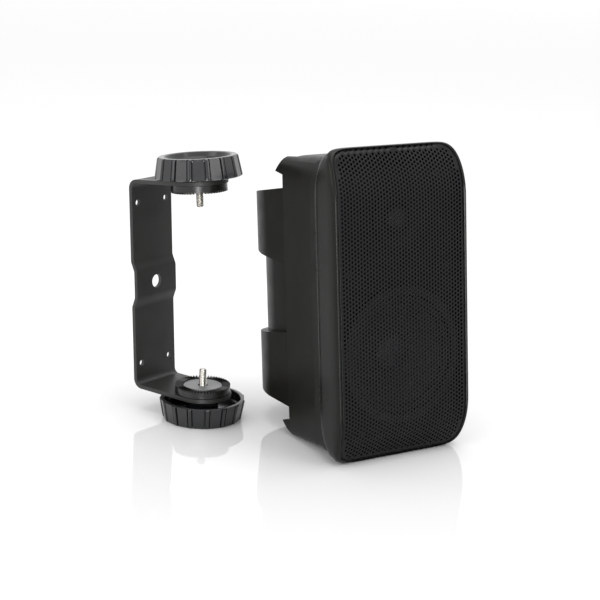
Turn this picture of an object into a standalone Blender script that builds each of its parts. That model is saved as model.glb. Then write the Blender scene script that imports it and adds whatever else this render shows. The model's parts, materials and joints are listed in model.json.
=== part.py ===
"""A compact two-way PA speaker and its loose steel U-bracket, both standing on a table.

The cabinet leans back on its rear hooks. The bracket stands on its lower knob beside it.
Sizes are in millimetres and are scaled to metres by MM.
Cabinet axes: +X to its left-hand side seen from the front, -Y out of the grille, +Z up.
"""

import math

import bmesh
import bpy
from mathutils import Matrix, Vector

MM = 0.001

# Where the arrangement stands. Its middle above the table is the origin.
STAND_X = 35.86
STAND_Y = -99.13
STAND_Z = 0.42

# Cabinet, measured from mid-height and from the vertical plane through its front foot.
HALF_WIDTH = 59.0
HALF_HEIGHT = 115.2
CORNER_POWER = 12.0
TIGHT_POWER = 22.0
OUTLINE_STEPS = 72
FRONT_Y = -11.5
FRONT_FLAT = 76.0
FRONT_BEND = 115.0
SEAM_Y = 14.7
SEAM_FLAT = 80.0
SEAM_BEND = 150.0
BODY_HALF = (54.6, 109.4)
HOOK_Y = 68.5
HOOK_HALF = (52.4, 107.1)
HOOK_TIP_Z = 95.5
HOOK_SLANT = 0.95
NOTCH_Z = (83.4, 92.9)
LEAN = math.atan2(HALF_HEIGHT - HOOK_HALF[1], HOOK_Y)
WALL = 3.2
GAP = 0.3

# Rear blocks with a round back, and the lower part between them.
PIVOT_Y = 91.0
BLOCK_Y = PIVOT_Y + 3.0
BLOCK_RADIUS = 52.0
BLOCK_HALF = (52.3, 52.1)
BLOCK_INNER = (26.1, 0.114)
BLOCK_SLOPE = 0.115
MID_RADIUS = 46.2
MID_HALF = (46.8, 46.5)
PANEL_HALF = 20.0
PANEL_Y = BLOCK_Y + math.sqrt(MID_RADIUS**2 - PANEL_HALF**2)
SIDE_WALL = 5.4
RECESS_FRONT = 54.0

# Bracket pivot: serrated seat in the cabinet, serrated ring on the arm, M6 stud.
SEAT_RADIUS = 23.0
SEAT_FLOOR = 72.6
SEAT_HEIGHT = 2.4
INSERT_BORE = 4.8
INSERT_FLOOR = SEAT_FLOOR - 12.6
SEAT_BORE = [
    (0, INSERT_FLOOR),
    (INSERT_BORE, INSERT_FLOOR),
    (INSERT_BORE, SEAT_FLOOR),
    (SEAT_RADIUS + 0.4, SEAT_FLOOR),
    (SEAT_RADIUS + 0.4, HALF_HEIGHT),
    (0, HALF_HEIGHT),
]
STUD_RADIUS = 3.0
STUD_REACH = 12.0
TEETH = 48
TOOTH = 0.9

# Baffle and drivers.
BAFFLE_Y = -4.5
BAFFLE_THICK = 5.0
BAFFLE_BACK = BAFFLE_Y + BAFFLE_THICK
BAFFLE_HALF = (53.4, 100.6)
WOOFER_Z = -38.0
WOOFER_RADIUS = 51.0
WOOFER_HOLE = 46.4
TWEETER_Z = 62.0
TWEETER_RADIUS = 22.0
TWEETER_HOLE = 16.0
BAFFLE_SCREWS = [(35.6, 92.5), (43.0, 24.0), (35.6, -93.5)]
SCREW_RADIUS = 1.5

# Bracket, measured from its knob axis at mid-height. +Y points to its back plate.
BRACKET_AT = (-88.7, 140.7)
BRACKET_YAW = math.radians(20.3)
SPLAY = math.radians(2.7)
ARM_HALF = 82.6
PLATE_Y = 49.4
SHEET = 3.0
STRAP_HALF = 22.3
ARM_END = 22.6
BEND = 4.5
JOGGLE = (9.5, 19.0, 3.2)
CENTRE_HOLE = 5.25
CORNER_HOLE = 2.5
CORNER_HOLES = (15.8, 64.3)
RING_RADII = (15.6, 21.6)
RING_HEIGHT = 6.5
DISC_RADIUS = 15.0
WASHER = 1.2
KNOB_HEIGHT = 16.2
KNOB_RADII = (33.2, 30.6)
KNOB_RIBS = 15
KNOB_AT = SHEET + WASHER + 2 * GAP
BRACKET_Z = ARM_HALF + (KNOB_AT + KNOB_HEIGHT) / math.cos(SPLAY)

SEGMENTS = 48


def clear_scene():
    for item in list(bpy.data.objects):
        bpy.data.objects.remove(item, do_unlink=True)


def finish(name, colour, roughness=0.5, metallic=0.0):
    material = bpy.data.materials.new(name)
    material.use_nodes = True
    shader = material.node_tree.nodes["Principled BSDF"]
    shader.inputs["Base Color"].default_value = (*colour, 1.0)
    shader.inputs["Roughness"].default_value = roughness
    shader.inputs["Metallic"].default_value = metallic
    return material


def empty(name, matrix, parent=None):
    item = bpy.data.objects.new(name, None)
    bpy.context.scene.collection.objects.link(item)
    item.parent = parent
    item.matrix_local = matrix
    return item


def at(x=0.0, y=0.0, z=0.0):
    return Matrix.Translation(Vector((x, y, z)) * MM)


def add(name, mesh, material, parent, matrix=None, smooth=40):
    """One object from a bmesh whose points are in millimetres."""
    bmesh.ops.scale(mesh, vec=(MM, MM, MM), verts=mesh.verts)
    bmesh.ops.recalc_face_normals(mesh, faces=mesh.faces)
    if mesh.calc_volume(signed=True) < 0:
        bmesh.ops.reverse_faces(mesh, faces=mesh.faces)
    data = bpy.data.meshes.new(name)
    mesh.to_mesh(data)
    mesh.free()
    data.materials.append(material)
    data.shade_smooth()
    data.set_sharp_from_angle(angle=math.radians(smooth))
    item = bpy.data.objects.new(name, data)
    bpy.context.scene.collection.objects.link(item)
    item.parent = parent
    item.matrix_local = matrix or Matrix.Identity(4)
    return item


def helper(mesh, parent, matrix=None):
    """A cutter or an added shape, left out of the model itself."""
    item = add("helper", mesh, HELPER, parent, matrix)
    item.hide_render = True
    item.display_type = "WIRE"
    return item


def boolean(item, operation, mesh, parent=None, matrix=None):
    modifier = item.modifiers.new(operation.title(), "BOOLEAN")
    modifier.operation = operation
    modifier.solver = "EXACT"
    modifier.object = helper(mesh, parent or item.parent, matrix)


def cut(item, mesh, parent=None, matrix=None):
    boolean(item, "DIFFERENCE", mesh, parent, matrix)


def join(item, mesh, parent=None, matrix=None):
    boolean(item, "UNION", mesh, parent, matrix)


def loft(sections, around=False):
    """Skins equal closed loops of points. The ends are capped unless the loft runs around."""
    mesh = bmesh.new()
    rings = [[mesh.verts.new(point) for point in section] for section in sections]
    count = len(rings[0])
    pairs = list(zip(rings, rings[1:] + rings[:1])) if around else list(zip(rings, rings[1:]))
    for first, second in pairs:
        for i in range(count):
            j = (i + 1) % count
            mesh.faces.new((first[i], first[j], second[j], second[i]))
    if not around:
        close(mesh, rings[0])
        close(mesh, rings[-1])
    bmesh.ops.connect_verts_nonplanar(mesh, angle_limit=0.0001, faces=mesh.faces)
    return mesh


def close(mesh, ring):
    """Closes a ring of points. One that is symmetric in X gets flat strips from side to side."""
    count = len(ring)
    for start in range(count):
        left = [ring[(start + i) % count] for i in range(count // 2)]
        right = [ring[(start - 1 - i) % count] for i in range(count // 2)]
        mirrored = [Vector((-point.co.x, point.co.y, point.co.z)) for point in right]
        if all((a.co - b).length < GAP * MM for a, b in zip(left, mirrored)):
            for i in range(count // 2 - 1):
                mesh.faces.new((left[i], left[i + 1], right[i + 1], right[i]))
            return
    mesh.faces.new(ring)


def turned(profile, segments=SEGMENTS):
    """Turns a closed (radius, height) outline about the Z axis. Radius 0 lies on the axis."""
    mesh = bmesh.new()
    rings = []
    for radius, height in profile:
        if radius == 0:
            rings.append([mesh.verts.new((0, 0, height))])
            continue
        angles = [2 * math.pi * i / segments for i in range(segments)]
        points = [(radius * math.cos(a), radius * math.sin(a), height) for a in angles]
        rings.append([mesh.verts.new(point) for point in points])
    for first, second in zip(rings, rings[1:] + rings[:1]):
        for i in range(segments):
            j = (i + 1) % segments
            corners = [
                first[i % len(first)],
                first[j % len(first)],
                second[j % len(second)],
                second[i % len(second)],
            ]
            corners = list(dict.fromkeys(corners))
            if len(corners) > 2:
                mesh.faces.new(corners)
    return mesh


def cylinder(radius, low, high, segments=SEGMENTS):
    return turned([(0, low), (radius, low), (radius, high), (0, high)], segments)


def tube(inner, outer, low, high, segments=SEGMENTS):
    return turned([(inner, low), (outer, low), (outer, high), (inner, high)], segments)


def prism(outline, low, high):
    """An outline in the XY plane between two heights, each a number or a function of Y."""
    floor = low if callable(low) else lambda y: low
    roof = high if callable(high) else lambda y: high
    return loft(
        [
            [(x, y, floor(y)) for x, y in outline],
            [(x, y, roof(y)) for x, y in outline],
        ]
    )


def box(low, high):
    outline = [(low[0], low[1]), (high[0], low[1]), (high[0], high[1]), (low[0], high[1])]
    return prism(outline, low[2], high[2])


def side_prism(outline, low, high):
    """An outline of (y, z) points between two X positions."""
    return loft([[(x, y, z) for y, z in outline] for x in (low, high)])


def arc(centre, radius, start, end, steps):
    angles = [math.radians(start + (end - start) * i / steps) for i in range(steps + 1)]
    return [(centre[0] + radius * math.cos(a), centre[1] + radius * math.sin(a)) for a in angles]


def rear_plan(radius, half, flat=None):
    """Plan of a rear part: its sides run into a round back about the blocks' middle."""
    outline = [(-half[0], 50.0), (half[0], 50.0), (half[0], HOOK_Y), (half[1], 84.0)]
    if flat is None:
        outline += arc((0, BLOCK_Y), radius, 1, 179, 35)
    else:
        corner = math.degrees(math.asin((flat - BLOCK_Y) / radius))
        outline += arc((0, BLOCK_Y), radius, 1, corner, 8)
        outline += arc((0, BLOCK_Y), radius, 180 - corner, 179, 8)
    return outline + [(-half[1], 84.0), (-half[0], HOOK_Y)]


def soft_oblong(half_width, half_height, depth, power=CORNER_POWER):
    """The cabinet's outline at a size, with depth(z) as its Y."""
    points = []
    for i in range(OUTLINE_STEPS):
        angle = 2 * math.pi * (i + 0.5) / OUTLINE_STEPS
        c, s = math.cos(angle), math.sin(angle)
        x = half_width * math.copysign(abs(c) ** (2 / power), c)
        z = half_height * math.copysign(abs(s) ** (2 / power), s)
        points.append((x, depth(z), z))
    return points


def front_y(z):
    return FRONT_Y + max(0.0, abs(z) - FRONT_FLAT) ** 2 / FRONT_BEND


def seam_y(z):
    return SEAM_Y - max(0.0, abs(z) - SEAM_FLAT) ** 2 / SEAM_BEND


def block_outer(y):
    return NOTCH_Z[0] - BLOCK_SLOPE * max(0.0, y - HOOK_Y)


def block_inner(y):
    return BLOCK_INNER[0] + BLOCK_INNER[1] * max(0.0, y - HOOK_Y)


def front_bezel(cabinet):
    sections = [
        soft_oblong(57.9, 114.9, front_y),
        soft_oblong(HALF_WIDTH, HALF_HEIGHT, lambda z: front_y(z) + 1.8),
        soft_oblong(HALF_WIDTH, 114.4, lambda z: (front_y(z) + seam_y(z)) / 2),
        soft_oblong(58.4, 112.6, seam_y),
        soft_oblong(54.6, 107.0, seam_y),
        soft_oblong(54.8, 112.0, lambda z: front_y(z) + 3.2),
        soft_oblong(55.6, 114.3, lambda z: front_y(z) + 1.6),
        soft_oblong(55.6, 114.3, front_y),
    ]
    add("front_bezel", loft(sections, around=True), PLASTIC, cabinet)


def grille(cabinet):
    half_width, half_height, thick = 55.2, 113.9, 1.1
    sections = []
    steps = 40
    for i in range(steps + 1):
        z = half_height * 0.9995 * math.sin(math.pi * (i / steps - 0.5))
        x = half_width * (1 - (abs(z) / half_height) ** CORNER_POWER) ** (1 / CORNER_POWER)
        y = front_y(z) + 0.2
        sections.append([(-x, y, z), (x, y, z), (x, y + thick, z), (-x, y + thick, z)])
    add("grille", loft(sections), GRILLE, cabinet)


def front_baffle(cabinet):
    sections = [soft_oblong(*BAFFLE_HALF, lambda z, y=y: y) for y in (BAFFLE_Y, BAFFLE_BACK)]
    baffle = add("front_baffle", loft(sections), PLASTIC, cabinet)
    cut(baffle, cylinder(WOOFER_HOLE, -20, 20), cabinet, FORWARD @ at(0, WOOFER_Z, 0))
    cut(baffle, cylinder(TWEETER_HOLE, -20, 20), cabinet, FORWARD @ at(0, TWEETER_Z, 0))
    for x, z in screw_places():
        cut(baffle, cylinder(SCREW_RADIUS + 0.4, -20, 20, 12), cabinet, FORWARD @ at(x, z, 0))


def screw_places():
    return [(side * x, z) for x, z in BAFFLE_SCREWS for side in (-1, 1)]


def baffle_screws(cabinet):
    names = ["top_left", "top_right", "middle_left", "middle_right", "bottom_left", "bottom_right"]
    profile = [(0, -24), (SCREW_RADIUS, -24), (SCREW_RADIUS, GAP), (3.2, GAP), (2.8, 1.5), (0, 1.5)]
    for name, (x, z) in zip(names, screw_places()):
        place = FORWARD @ at(x, z, -BAFFLE_Y)
        add(f"baffle_screw_{name}", turned(profile, 16), BLACK_STEEL, cabinet, place)


def rear_shell(cabinet):
    sections = [
        soft_oblong(58.2, 110.1, lambda z: seam_y(z) + GAP),
        soft_oblong(58.0, 109.9, lambda z: seam_y(z) + 7.3),
        soft_oblong(*BODY_HALF, lambda z: seam_y(z) + 9.3),
        soft_oblong(*HOOK_HALF, lambda z: HOOK_Y, TIGHT_POWER),
    ]
    shell = add("rear_shell", loft(sections), PLASTIC, cabinet)
    join(shell, prism(rear_plan(MID_RADIUS, MID_HALF, PANEL_Y), -36, 36))
    plan = rear_plan(BLOCK_RADIUS, BLOCK_HALF)
    for side in (-1, 1):
        join(shell, prism(plan, lambda y: side * block_inner(y), lambda y: side * block_outer(y)))
    for side in (-1, 1):
        arm_recess(shell, side)
    hollow_out(shell)
    for side in (-1, 1):
        pivot_boss(shell, side)
        low, high = sorted((side * 33, side * 50))
        join(shell, box((low, 62, -64), (high, 66, -44)))
    for x, z in screw_places():
        screw_rib(shell, x, z)
    for side in (-1, 1):
        place = at(0, PIVOT_Y, 0) @ facing(side)
        cut(shell, turned(SEAT_BORE, 40), cabinet, place)
    for x, z in screw_places():
        hole = cylinder(SCREW_RADIUS + 0.4, -27, 5, 12)
        cut(shell, hole, cabinet, FORWARD @ at(x, z, 0))
    cut(shell, box((-15.9, PANEL_Y - 12, -10.9), (15.9, PANEL_Y + 6, 10.9)))


def arm_recess(shell, side):
    """Room for the bracket's arm and knob, between two side walls that end in hooks."""
    inner_half = HOOK_HALF[0] - SIDE_WALL
    floor = [(y, block_outer(y) - 0.2) for y in (RECESS_FRONT, HOOK_Y, 150.0)]
    outline = [(RECESS_FRONT, 130.0)] + floor + [(150.0, 130.0)]
    cut(shell, side_prism([(y, side * z) for y, z in outline], -inner_half, inner_half))
    for wall in (-1, 1):
        sections = []
        for x in (inner_half + 0.2, 49.5, 51.0, 51.8):
            half_width, half_height = HOOK_HALF[0] - 0.2, HOOK_HALF[1] - 0.25
            top = half_height * (1 - (x / half_width) ** TIGHT_POWER) ** (1 / TIGHT_POWER)
            ends = [(HOOK_Y + HOOK_SLANT * (HOOK_HALF[1] - z), z) for z in (top, HOOK_TIP_Z)]
            hook = [(60, NOTCH_Z[1] + 1.5), (60, top), *ends]
            hook += [(HOOK_Y - 0.5, NOTCH_Z[1])]
            sections.append([(wall * x, y, side * z) for y, z in hook])
        join(shell, loft(sections))


def hollow_out(shell):
    """The air space: a full-height front part, a middle part and a pocket in each block."""
    front = [
        soft_oblong(54.4, 105.6, lambda z: -5.0),
        soft_oblong(54.4, 105.6, lambda z: 12.0),
        soft_oblong(51.2, 105.2, lambda z: 24.0),
        soft_oblong(50.0, 104.0, lambda z: RECESS_FRONT - WALL),
    ]
    cut(shell, loft(front))
    inner = HOOK_HALF[0] - WALL
    low = RECESS_FRONT - WALL - 1
    cut(shell, box((-inner, low, WALL - NOTCH_Z[0]), (inner, HOOK_Y - 3, NOTCH_Z[0] - WALL)))
    middle = (MID_HALF[0] - WALL, MID_HALF[1] - WALL)
    cut(shell, prism(rear_plan(MID_RADIUS - WALL, middle, PANEL_Y - WALL), -34, 34))
    block = (BLOCK_HALF[0] - WALL, BLOCK_HALF[1] - WALL)
    plan = rear_plan(BLOCK_RADIUS - WALL, block)
    for side in (-1, 1):
        floor = lambda y, side=side: side * (block_inner(y) + WALL)
        roof = lambda y, side=side: side * (block_outer(y) - WALL)
        cut(shell, prism(plan, floor, roof))


def pivot_boss(shell, side):
    """The thick floor under a serrated seat."""
    outline = arc((0, PIVOT_Y), SEAT_RADIUS + 5, 4.5, 364.5, 40)[:-1]
    floor = lambda y: side * (SEAT_FLOOR - 16.0)
    roof = lambda y: side * (block_outer(y) - 1.0)
    join(shell, prism(outline, floor, roof))


def screw_rib(shell, x, z):
    """A rib that carries a baffle screw and runs out to the nearest wall."""
    side = math.copysign(1, x)
    end = math.copysign(1, z)
    if abs(z) > NOTCH_Z[0]:
        across = (x - 4, x + 4)
        along = sorted((z - 5 * end, 106.2 * end))
    else:
        across = sorted((x - 4.5 * side, 54.1 * side))
        along = (z - 4, z + 4)
    join(shell, box((across[0], BAFFLE_BACK + GAP, along[0]), (across[1], 36.0, along[1])))


def facing(side):
    """Turns +Z to the side that faces out: up for 1, down for -1."""
    return Matrix.Identity(4) if side > 0 else Matrix.Rotation(math.pi, 4, "X")


def serrated(inner, outer, low, high, teeth=TEETH):
    """A ring whose upper face carries radial teeth."""
    mesh = bmesh.new()
    rows = []
    count = 2 * teeth
    for radius, base in ((inner, low), (outer, low), (outer, None), (inner, None)):
        row = []
        for i in range(count):
            angle = 2 * math.pi * i / count
            height = high - (TOOTH if i % 2 else 0) if base is None else base
            point = (radius * math.cos(angle), radius * math.sin(angle), height)
            row.append(mesh.verts.new(point))
        rows.append(row)
    for first, second in zip(rows, rows[1:] + rows[:1]):
        for i in range(count):
            j = (i + 1) % count
            mesh.faces.new((first[i], first[j], second[j], second[i]))
    return mesh


def pivot_seats(cabinet):
    low = SEAT_FLOOR + GAP
    for side, name in ((1, "upper"), (-1, "lower")):
        place = at(0, PIVOT_Y, 0) @ facing(side)
        seat = serrated(9.0, SEAT_RADIUS, low, low + SEAT_HEIGHT)
        add(f"{name}_seat_ring", seat, RUBBER, cabinet, place)
        insert = tube(STUD_RADIUS + 0.2, 4.4, SEAT_FLOOR - 12.2, SEAT_FLOOR + 0.6, 20)
        add(f"{name}_threaded_insert", insert, BRASS, cabinet, place)


def woofer(cabinet):
    axis = empty("woofer_axis", FORWARD @ at(0, WOOFER_Z, -BAFFLE_Y), cabinet)
    rim = WOOFER_RADIUS
    basket = [(rim, GAP), (rim, 2.3), (44.4, 2.3), (44.4, -8.4), (24.5, -26.2), (24.5, -28.5)]
    basket += [(15, -28.5), (15, -30), (26, -30), (26, -27), (46, -9), (46, GAP)]
    add("woofer_basket", turned(basket), BLACK_STEEL, axis)
    add("woofer_gasket", tube(44.7, 50.6, 2.6, 3.8), RUBBER, axis)
    add("woofer_top_plate", tube(13.4, 27, -34.3, -30.3), STEEL, axis)
    add("woofer_magnet", tube(14.5, 30, -44.6, -34.6), FERRITE, axis)
    yoke = [(0, -30.6), (12, -30.6), (12, -44.9), (28, -44.9), (28, -48.9), (0, -48.9)]
    add("woofer_yoke", turned(yoke), STEEL, axis)
    add("woofer_spider", tube(13.8, 30, -20.2, -19.4), CLOTH, axis)
    cone = [(13.3, -14.4), (13.3, -13.0), (36.2, 0.8), (37.4, 0.8), (37.4, -0.4)]
    add("woofer_cone", turned(cone), PAPER, axis)
    roll = [(37.8, -0.2), (37.8, 0.9), (38.8, 0.9)] + [
        (41.2 + 2.4 * math.cos(a), 0.9 + 2.4 * math.sin(a))
        for a in [math.pi * (1 - i / 6) for i in range(1, 6)]
    ]
    roll += [(43.6, 0.9), (44.0, 0.9), (44.0, -0.2)]
    add("woofer_surround", turned(roll), RUBBER, axis)
    cap = [(0, -5.6), (5, -6.1), (10, -7.8), (14.8, -11.2)]
    cap += [(13.9, -11.3), (9.6, -8.6), (4.8, -6.9), (0, -6.4)]
    add("woofer_dust_cap", turned(cap), PAPER, axis)
    add("woofer_voice_coil", tube(12.45, 12.95, -33, -13), COPPER, axis)


def tweeter(cabinet):
    axis = empty("tweeter_axis", FORWARD @ at(0, TWEETER_Z, -BAFFLE_Y), cabinet)
    plate = [(TWEETER_RADIUS, GAP), (TWEETER_RADIUS, 2.4), (14, 1.6), (10.8, 0.6)]
    plate += [(10.8, -6), (15, -6), (15, GAP)]
    add("tweeter_faceplate", turned(plate), PLASTIC, axis)
    add("tweeter_magnet", cylinder(14.5, -16.3, -6.4), FERRITE, axis)
    dome = [(0, 4.2), (4, 3.7), (7.4, 2.3), (10.0, -0.2), (10.0, -1.0), (9.4, -1.0)]
    dome += [(9.2, -0.4), (6.9, 1.7), (3.8, 3.1), (0, 3.5)]
    add("tweeter_dome", turned(dome), SILK, axis)


def electronics(cabinet):
    """The crossover: a board against two ribs, with its coil, capacitors and resistor."""
    add("crossover_board", box((-36, 60, -72), (36, 61.7, -36)), BOARD, cabinet)
    coil = tube(5, 12, 46.0, 59.7, 32)
    add("crossover_coil", coil, COPPER, cabinet, BACKWARD @ at(-20, 54, 0))
    for name, x in (("a", 3), ("b", 17)):
        can = cylinder(5.5, 62.0, 80.0, 24)
        add(f"crossover_capacitor_{name}", can, CAPACITOR, cabinet, BACKWARD @ at(x, 48, 0))
    add("crossover_resistor", box((-24, 62, -54), (-14, 71, -38)), CERAMIC, cabinet)


def terminal(cabinet):
    """A recessed cup in the rear, with two sprung push levers over their wire holes."""
    rear = PANEL_Y
    cup = add("terminal_cup", box((-15.6, rear - 10, -10.6), (15.6, rear + 1, 10.6)), PLASTIC, cabinet)
    join(cup, box((-18.5, rear + GAP, -13.5), (18.5, rear + 1.8, 13.5)))
    cut(cup, box((-13.8, rear - 8.4, -8.8), (13.8, rear + 9, 8.8)))
    for name, x, material in (("red", -6.8, RED), ("black", 6.8, PLASTIC)):
        lever = side_prism([(-1, -1.2), (3.6, -0.4), (4.6, 1.2), (2.6, 7.2), (-1, 7.2)], -5, 5)
        add(f"terminal_lever_{name}", lever, material, cabinet, at(x, rear - 3.2, -1.0))


def arm_height(y):
    """Height of the upper arm's inner face. The arms splay apart away from the plate."""
    return ARM_HALF - math.tan(SPLAY) * y


def half_band(offset):
    """The upper half of the strap's side view, at a distance from its inner face."""
    flat, ramp, joggle = JOGGLE
    y = PLATE_Y - BEND
    line = [(-ARM_END - 3, arm_height(-ARM_END - 3) + offset), (y, arm_height(y) + offset)]
    line += arc((y, arm_height(y) - BEND), BEND + offset, 72, 0, 4)
    return line + [(PLATE_Y + offset, ramp), (PLATE_Y + offset - joggle, flat)]


def strap(bracket):
    half = list(zip(half_band(0), half_band(SHEET)))
    lower = [[(y, -z) for y, z in pair] for pair in reversed(half)]
    sections = []
    for inner, outer in half + lower:
        corners = [(-STRAP_HALF, inner), (STRAP_HALF, inner)]
        corners += [(STRAP_HALF, outer), (-STRAP_HALF, outer)]
        sections.append([(x, *point) for x, point in corners])
    item = add("bracket_strap", loft(sections), PAINTED, bracket)
    cut(item, cylinder(CENTRE_HOLE, 30, 70, 32), bracket, BACKWARD)
    hole_x, hole_z = CORNER_HOLES
    for x in (-hole_x, hole_x):
        for z in (-hole_z, hole_z):
            cut(item, cylinder(CORNER_HOLE, 30, 70, 16), bracket, at(x, 0, z) @ BACKWARD)
    cut(item, cylinder(STUD_RADIUS + 0.6, -100, 100, 24), bracket)
    radius, wide = STRAP_HALF - 0.3, STRAP_HALF + 6
    start = radius - ARM_END
    end = [(-wide, -50), (wide, -50), (wide, start)]
    end += arc((0, start), radius, 0, -180, 20) + [(-wide, start)]
    cut(item, prism(end, -110, 110), bracket)


def arm_frame(side):
    """Frame of an arm at its pivot: the origin on the sheet's inner face, +Z pointing out."""
    turn = -SPLAY if side > 0 else math.pi + SPLAY
    return at(0, 0, side * ARM_HALF) @ Matrix.Rotation(turn, 4, "X")


def knob():
    """A flared cap with a dished outer face and grip ribs round its side."""
    wide, narrow = KNOB_RADII
    top = KNOB_HEIGHT
    levels = [(11, 0.0), (wide - 5, 1.0), (wide - 1.0, 2.0), (wide, 4.0), (narrow, top - 1.5)]
    levels += [(narrow - 1.5, top), (narrow - 4.5, top), (narrow - 9, top - 3.2), (12, top - 4.6)]
    mesh = bmesh.new()
    count = KNOB_RIBS * 4
    rings = []
    for index, (radius, height) in enumerate(levels):
        ring = []
        for i in range(count):
            angle = 2 * math.pi * i / count
            groove = 1.4 if index in (3, 4) and i % 4 == 0 else 0.0
            r = radius - groove
            ring.append(mesh.verts.new((r * math.cos(angle), r * math.sin(angle), height)))
        rings.append(ring)
    for first, second in zip(rings, rings[1:]):
        for i in range(count):
            j = (i + 1) % count
            mesh.faces.new((first[i], first[j], second[j], second[i]))
    mesh.faces.new(rings[0])
    mesh.faces.new(rings[-1])
    return mesh


def pivot_parts(bracket):
    for side, name in ((1, "upper"), (-1, "lower")):
        axis = empty(f"{name}_knob_axis", arm_frame(side), bracket)
        inward = Matrix.Rotation(math.pi, 4, "X")
        ring = serrated(*RING_RADII, GAP, RING_HEIGHT)
        add(f"{name}_bracket_ring", ring, RUBBER, axis, inward)
        disc = tube(STUD_RADIUS + 0.9, DISC_RADIUS, GAP, RING_HEIGHT - 1.2, 40)
        add(f"{name}_pivot_disc", disc, GREY, axis, inward)
        washer = tube(STUD_RADIUS + 0.4, 9.0, SHEET + GAP, SHEET + GAP + WASHER, 32)
        add(f"{name}_washer", washer, STEEL, axis)
        cap = add(f"{name}_knob", knob(), PLASTIC, axis, at(0, 0, KNOB_AT))
        cut(cap, cylinder(STUD_RADIUS + GAP, -5, 9.3, 20), axis, at(0, 0, KNOB_AT))
        stud = cylinder(STUD_RADIUS, -RING_HEIGHT - STUD_REACH, KNOB_AT + 9.0, 20)
        add(f"{name}_stud", stud, ZINC, axis)


clear_scene()
HELPER = finish("helper", (1.0, 0.0, 1.0))
PLASTIC = finish("satin_black_plastic", (0.022, 0.022, 0.023), 0.45)
GRILLE = finish("painted_grille_steel", (0.012, 0.012, 0.013), 0.5, 0.2)
BLACK_STEEL = finish("black_steel", (0.02, 0.02, 0.02), 0.45, 0.4)
PAINTED = finish("powder_coat", (0.02, 0.02, 0.021), 0.55, 0.1)
RUBBER = finish("black_rubber", (0.015, 0.015, 0.015), 0.8)
GREY = finish("grey_plastic", (0.12, 0.12, 0.125), 0.5)
ZINC = finish("zinc_plate", (0.65, 0.64, 0.62), 0.3, 1.0)
STEEL = finish("bare_steel", (0.45, 0.45, 0.46), 0.4, 1.0)
BRASS = finish("brass", (0.7, 0.52, 0.25), 0.35, 1.0)
FERRITE = finish("ferrite", (0.06, 0.06, 0.065), 0.7)
PAPER = finish("coated_paper", (0.025, 0.025, 0.028), 0.75)
SILK = finish("coated_silk", (0.02, 0.02, 0.025), 0.5)
CLOTH = finish("spider_cloth", (0.45, 0.33, 0.14), 0.9)
COPPER = finish("enamelled_copper", (0.55, 0.22, 0.09), 0.35, 0.8)
CAPACITOR = finish("capacitor_sleeve", (0.03, 0.03, 0.16), 0.4)
BOARD = finish("circuit_board", (0.02, 0.12, 0.05), 0.5)
CERAMIC = finish("ceramic_resistor", (0.6, 0.58, 0.52), 0.7)
RED = finish("red_plastic", (0.5, 0.02, 0.02), 0.4)

FORWARD = Matrix.Rotation(math.pi / 2, 4, "X")
BACKWARD = Matrix.Rotation(-math.pi / 2, 4, "X")

cabinet_place = at(STAND_X, STAND_Y, STAND_Z) @ Matrix.Rotation(-LEAN, 4, "X") @ at(0, 0, HALF_HEIGHT)
cabinet_axes = empty("cabinet_axes", cabinet_place)
front_bezel(cabinet_axes)
grille(cabinet_axes)
front_baffle(cabinet_axes)
baffle_screws(cabinet_axes)
rear_shell(cabinet_axes)
pivot_seats(cabinet_axes)
woofer(cabinet_axes)
tweeter(cabinet_axes)
electronics(cabinet_axes)
terminal(cabinet_axes)

bracket_foot = at(STAND_X + BRACKET_AT[0], STAND_Y + BRACKET_AT[1], 0)
bracket_turn = Matrix.Rotation(BRACKET_YAW, 4, "Z") @ Matrix.Rotation(-SPLAY, 4, "X")
bracket_axes = empty("bracket_axes", bracket_foot @ bracket_turn @ at(0, 0, BRACKET_Z))
strap(bracket_axes)
pivot_parts(bracket_axes)
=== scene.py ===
"""The looks of a compact two-way PA speaker and its loose steel U-bracket on a white table.

Sizes are in millimetres and are scaled to metres by MM. The cabinet's own axes start at
mid-height just behind its face, the bracket's midway between its pivots. Both have +Z up and
+Y towards the back.
"""

import json
import math

import bmesh
import bpy
from mathutils import Matrix, Vector

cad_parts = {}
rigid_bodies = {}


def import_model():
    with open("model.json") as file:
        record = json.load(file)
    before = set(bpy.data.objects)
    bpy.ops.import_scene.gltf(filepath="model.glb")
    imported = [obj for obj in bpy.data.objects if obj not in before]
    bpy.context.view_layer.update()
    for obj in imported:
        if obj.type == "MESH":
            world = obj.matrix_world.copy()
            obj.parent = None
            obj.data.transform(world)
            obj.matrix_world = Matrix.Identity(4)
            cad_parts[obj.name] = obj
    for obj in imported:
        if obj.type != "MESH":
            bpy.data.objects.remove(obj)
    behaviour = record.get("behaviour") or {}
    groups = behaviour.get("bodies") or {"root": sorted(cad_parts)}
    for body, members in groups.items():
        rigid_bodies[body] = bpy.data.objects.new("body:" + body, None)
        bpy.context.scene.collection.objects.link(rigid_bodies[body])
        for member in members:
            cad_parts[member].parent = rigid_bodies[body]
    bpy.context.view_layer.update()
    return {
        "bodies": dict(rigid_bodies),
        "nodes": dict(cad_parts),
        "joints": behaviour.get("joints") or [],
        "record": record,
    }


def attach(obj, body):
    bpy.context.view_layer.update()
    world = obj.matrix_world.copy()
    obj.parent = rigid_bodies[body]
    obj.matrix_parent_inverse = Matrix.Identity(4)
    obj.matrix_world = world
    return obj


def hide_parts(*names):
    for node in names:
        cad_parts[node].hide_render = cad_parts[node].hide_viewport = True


MM = 0.001
TOUCHING = 0.001

# Cabinet outline. A higher power makes squarer corners.
HALF_WIDTH = 59.0
HALF_HEIGHT = 115.2
CORNER_POWER = 12.0
TIGHT_POWER = 22.0
OUTLINE_STEPS = 160

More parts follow.
